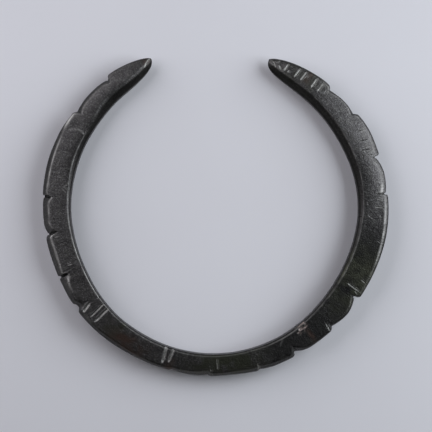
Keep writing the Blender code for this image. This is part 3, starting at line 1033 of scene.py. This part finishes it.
def store(name, layer):
    """Writes one number for each vertex; the two cap middles take their own ring's first value."""
    values = layer[numbers[:, 0], numbers[:, 1]]
    spare = len(mesh.vertices) - len(values)
    values = np.append(values, [layer[0, 0], layer[-1, 0]][:spare])
    attribute = mesh.attributes.new(name, "FLOAT", "POINT")
    attribute.data.foreach_set("value", values.astype(np.float32))


broken_up = 1 + STAIN_BY_FILE * filed + STAIN_BY_HAMMER * hammered
outer_part = ramp(share, CUPRITE_STARTS, CUPRITE_FULL)
MAPS = {
    "wear_and_highlight": wear_and_highlight,
    "cut_shine_and_rim_highlight": cut_shine_and_rim_highlight,
    "painted_shade": painted_shade,
    "chipped": np.clip(chip, 0, 1),
    "painted_top_shade": painted_top_shade,
    "olive": np.clip(over_bar(OLIVE) * broken_up, 0, 1),
    "cuprite": np.clip(over_bar(CUPRITE) * outer_part * broken_up, 0, 1),
    "reach_mm": reach_mm,
    "radius_mm": radius / MM,
}
for name, layer in MAPS.items():
    store(name, layer)
print("maps", {name: round(float(layer.mean()), 3) for name, layer in MAPS.items()})

# %% [markdown]
# ## Colours and nodes
#
# Colour pickers show sRGB values, and a shader works in linear light, so every colour is written
# as a hex value and goes through one function. A second function adds a node, sets what it is told
# and joins it up, which keeps a material readable as a list of steps. A Mix node has several inputs
# of one name, so these go by number, and the numbers are named here.

# %% Colours and nodes
MIX_FACTOR = 0
MIX_UNDER = 6
MIX_OVER = 7
MIX_RESULT = 2


def hex_colour(text):
    """An sRGB hex colour as the linear colour that a shader works in."""
    parts = [int(text[k : k + 2], 16) / 255 for k in (0, 2, 4)]
    return (*[p / 12.92 if p <= 0.04045 else ((p + 0.055) / 1.055) ** 2.4 for p in parts], 1.0)


def add_node(tree, kind, inputs=None, **settings):
    """Adds a node with its settings; an input is a plain value or the socket that feeds it."""
    node = tree.nodes.new(kind)
    for name, value in settings.items():
        setattr(node, name, value)
    for name, value in (inputs or {}).items():
        if isinstance(value, bpy.types.NodeSocket):
            tree.links.new(value, node.inputs[name])
        else:
            node.inputs[name].default_value = value
    return node


print("mid grey, linear", round(hex_colour("808080")[0], 3))

# %% [markdown]
# ## The patina
#
# Bronze that has lain in the ground grows a skin of copper oxides: nearly black, smooth and satin,
# with brown where the red oxide shows and olive where the green one has started. It still reflects
# as a metal does, only far less, so the shader is metallic with a dark colour. The skin is paler on
# the arrises, partly from wear and partly as painted highlight, and the chisel cuts are painted paler
# by their shine. Shade is painted into it too, on the slopes, the bore wall, the low outer face and
# the right part of the back. The file left fine lines across the bar, which follow the hoop, so they
# are drawn with the distance along the bar and the radius that the mesh carries. Real file lines are
# closer than the picture can show, so they are drawn four tenths of a millimetre apart.

# %% The patina
GRAIN_MM = 0.28
MOTTLE_MM = 1.6
LINES_APART_MM = 0.40
LINES_LONG_MM = 1.4
LINE_DEPTH = 0.04 * MM
GRAIN_DEPTH = 0.07 * MM
METALLIC = 0.95
SATIN = 0.35
DULLEST = 0.47


def skin_patterns(tree, maps):
    """Grain, mottling and file lines as sockets, each at its own size in millimetres."""
    place = add_node(tree, "ShaderNodeTexCoord").outputs["Object"]
    to_mm = {"Vector": place, "Scale": [1 / MM] * 3}
    in_mm = add_node(tree, "ShaderNodeMapping", to_mm).outputs[0]
    fine = {"Vector": in_mm, "Scale": 1 / GRAIN_MM, "Detail": 4.0, "Roughness": 0.6}
    grain = add_node(tree, "ShaderNodeTexNoise", fine).outputs[0]
    broad = {"Vector": in_mm, "Scale": 1 / MOTTLE_MM, "Detail": 3.0}
    mottle = add_node(tree, "ShaderNodeTexNoise", broad).outputs[0]
    on_bar = {"X": maps["reach_mm"], "Y": maps["radius_mm"]}
    straight = add_node(tree, "ShaderNodeCombineXYZ", on_bar).outputs[0]
    apart = {"Vector": straight, "Scale": (1 / LINES_APART_MM, 1 / LINES_LONG_MM, 1)}
    across = add_node(tree, "ShaderNodeMapping", apart).outputs[0]
    lines = add_node(tree, "ShaderNodeTexNoise", {"Vector": across, "Scale": 1.0, "Detail": 2.0}).outputs[0]
    return grain, mottle, lines


def patinated_bronze():
    """Bronze with a dark copper oxide skin, satin from handling, greyer on rubbed arrises, with painted
    highlight and painted shade in its colour.
    """
    material = bpy.data.materials.new("patinated_bronze")
    material.use_nodes = True
    tree = material.node_tree
    shader = tree.nodes["Principled BSDF"]
    maps = {}
    for name in MAPS:
        maps[name] = add_node(tree, "ShaderNodeAttribute", attribute_name=name).outputs["Fac"]
    grain, mottle, lines = skin_patterns(tree, maps)
    spans = {
        "mottled": {"Value": mottle, "From Min": 0.35, "From Max": 0.65},
        "streaked": {"Value": lines, "From Min": 0.50, "From Max": 0.72, "To Max": 0.6},
        "speckled": {"Value": grain, "From Min": 0.52, "From Max": 0.74, "To Max": 0.9},
        "gloss": {"Value": grain, "From Min": 0.3, "From Max": 0.7, "To Min": SATIN, "To Max": DULLEST},
    }
    for name, span in spans.items():
        maps[name] = add_node(tree, "ShaderNodeMapRange", span).outputs[0]
    skin = hex_colour("444240")
    layers = (
        (maps["mottled"], "52504d"),
        (maps["streaked"], "67665f"),
        (maps["speckled"], "7f7e7a"),
        # Painted shade on the top
        (maps["painted_top_shade"], "272725"),
        (maps["olive"], "47483c"),
        (maps["cuprite"], "54463e"),
        # Painted shade, darkest on the slopes, the bore wall, the low outer face and in scoops
        (maps["painted_shade"], "21201d"),
        # Wear, partly painted highlight
        (maps["wear_and_highlight"], "9b9992"),
        # Paler colour in the cuts, and a painted highlight on the rim
        (maps["cut_shine_and_rim_highlight"], "a9a89f"),
        (maps["chipped"], "93867d"),
    )
    for amount, colour in layers:
        mix = {MIX_FACTOR: amount, MIX_UNDER: skin, MIX_OVER: hex_colour(colour)}
        skin = add_node(tree, "ShaderNodeMix", mix, data_type="RGBA").outputs[MIX_RESULT]
    tree.links.new(skin, shader.inputs["Base Color"])
    shader.inputs["Metallic"].default_value = METALLIC
    tree.links.new(maps["gloss"], shader.inputs["Roughness"])
    scored = {"Height": lines, "Strength": 0.9, "Distance": LINE_DEPTH}
    lined = add_node(tree, "ShaderNodeBump", scored).outputs[0]
    pitted = {"Height": grain, "Strength": 1.0, "Distance": GRAIN_DEPTH, "Normal": lined}
    grained = add_node(tree, "ShaderNodeBump", pitted).outputs[0]
    tree.links.new(grained, shader.inputs["Normal"])
    return material


bronze = patinated_bronze()
mesh.materials.append(bronze)
print("material", bronze.name, len(bronze.node_tree.nodes), "nodes")

# %% [markdown]
# ## The board it lies on
#
# A pale, matte painted board. It is only a stage for the piece, so it is kept plain: a faint
# cloudiness, which any hand-painted board has, stops it from looking like empty space.

# %% The board
BOARD_HALF = 0.9
CLOUD_SIZE = 0.04


def pale_board():
    """Matte paint on a flat board: no gloss, and a faint cloudiness from the brush."""
    material = bpy.data.materials.new("matte_pale_board")
    material.use_nodes = True
    tree = material.node_tree
    shader = tree.nodes["Principled BSDF"]
    place = add_node(tree, "ShaderNodeTexCoord").outputs["Object"]
    cloudy = {"Vector": place, "Scale": 1 / CLOUD_SIZE, "Detail": 4.0}
    clouds = add_node(tree, "ShaderNodeTexNoise", cloudy).outputs[0]
    mix = {MIX_FACTOR: clouds, MIX_UNDER: hex_colour("e6e4e1"), MIX_OVER: hex_colour("ecebe8")}
    tint = add_node(tree, "ShaderNodeMix", mix, data_type="RGBA").outputs[MIX_RESULT]
    tree.links.new(tint, shader.inputs["Base Color"])
    shader.inputs["Roughness"].default_value = 0.9
    return material


board = bmesh.new()
bmesh.ops.create_grid(board, x_segments=1, y_segments=1, size=BOARD_HALF)
board_mesh = bpy.data.meshes.new("board")
board.to_mesh(board_mesh)
board.free()
floor = bpy.data.objects.new("board", board_mesh)
bpy.context.scene.collection.objects.link(floor)
board_mesh.materials.append(pale_board())
print("board, m", [round(side, 2) for side in floor.dimensions])

# %% [markdown]
# ## Light and camera
#
# Dark metal shows what it reflects. Two softboxes stand close by on either side, a strong one on
# the right and a weaker one on the left, both low. The near flats of each arm mirror one of them
# softly, the back of the hoop mirrors neither and stays dark, and every arris draws a bright line
# where it turns towards a box. The camera looks straight down, as one does on a piece in a tray.

# %% Light
Softbox = namedtuple("Softbox", "name clock elevation distance side power colour")
SOFTBOXES = (
    Softbox("key", 75, 35, 0.30, 0.26, 0.87, "ebf1ff"),
    Softbox("fill", 300, 37, 0.24, 0.24, 0.345, "f0f0ff"),
)
for box in SOFTBOXES:
    light = bpy.data.lights.new(box.name, "AREA")
    light.shape = "SQUARE"
    light.size = box.side
    light.energy = box.power
    light.color = hex_colour(box.colour)[:3]
    plan = direction(box.clock) * math.cos(math.radians(box.elevation))
    away = Vector((plan.x, plan.y, math.sin(math.radians(box.elevation))))
    lamp = bpy.data.objects.new(box.name, light)
    lamp.location = away * box.distance
    lamp.rotation_euler = away.to_track_quat("Z", "Y").to_euler()
    lamp.visible_camera = False
    bpy.context.scene.collection.objects.link(lamp)

ROOM_LIGHT = 0.05
world = bpy.data.worlds.new("studio")
world.use_nodes = True
world.node_tree.nodes["Background"].inputs["Color"].default_value = hex_colour("e6e8ea")
world.node_tree.nodes["Background"].inputs["Strength"].default_value = ROOM_LIGHT
bpy.context.scene.world = world
bpy.context.scene.view_settings.view_transform = "Standard"
print("softboxes", [box.name for box in SOFTBOXES])

# %% Camera
PHOTO_WIDTH = 86.4 * MM
CAMERA_DISTANCE = 400 * MM
VIEW_MIDDLE = Vector((0.087, 0.206)) * MM
SENSOR = 36.0
camera_data = bpy.data.cameras.new("camera")
camera_data.sensor_width = SENSOR
camera_data.lens = SENSOR * CAMERA_DISTANCE / PHOTO_WIDTH
camera = bpy.data.objects.new("camera", camera_data)
camera.location = (VIEW_MIDDLE.x, VIEW_MIDDLE.y, BAR_HEIGHT + CAMERA_DISTANCE)
bpy.context.scene.collection.objects.link(camera)
bpy.context.scene.camera = camera
print("lens, mm", round(camera_data.lens, 1))
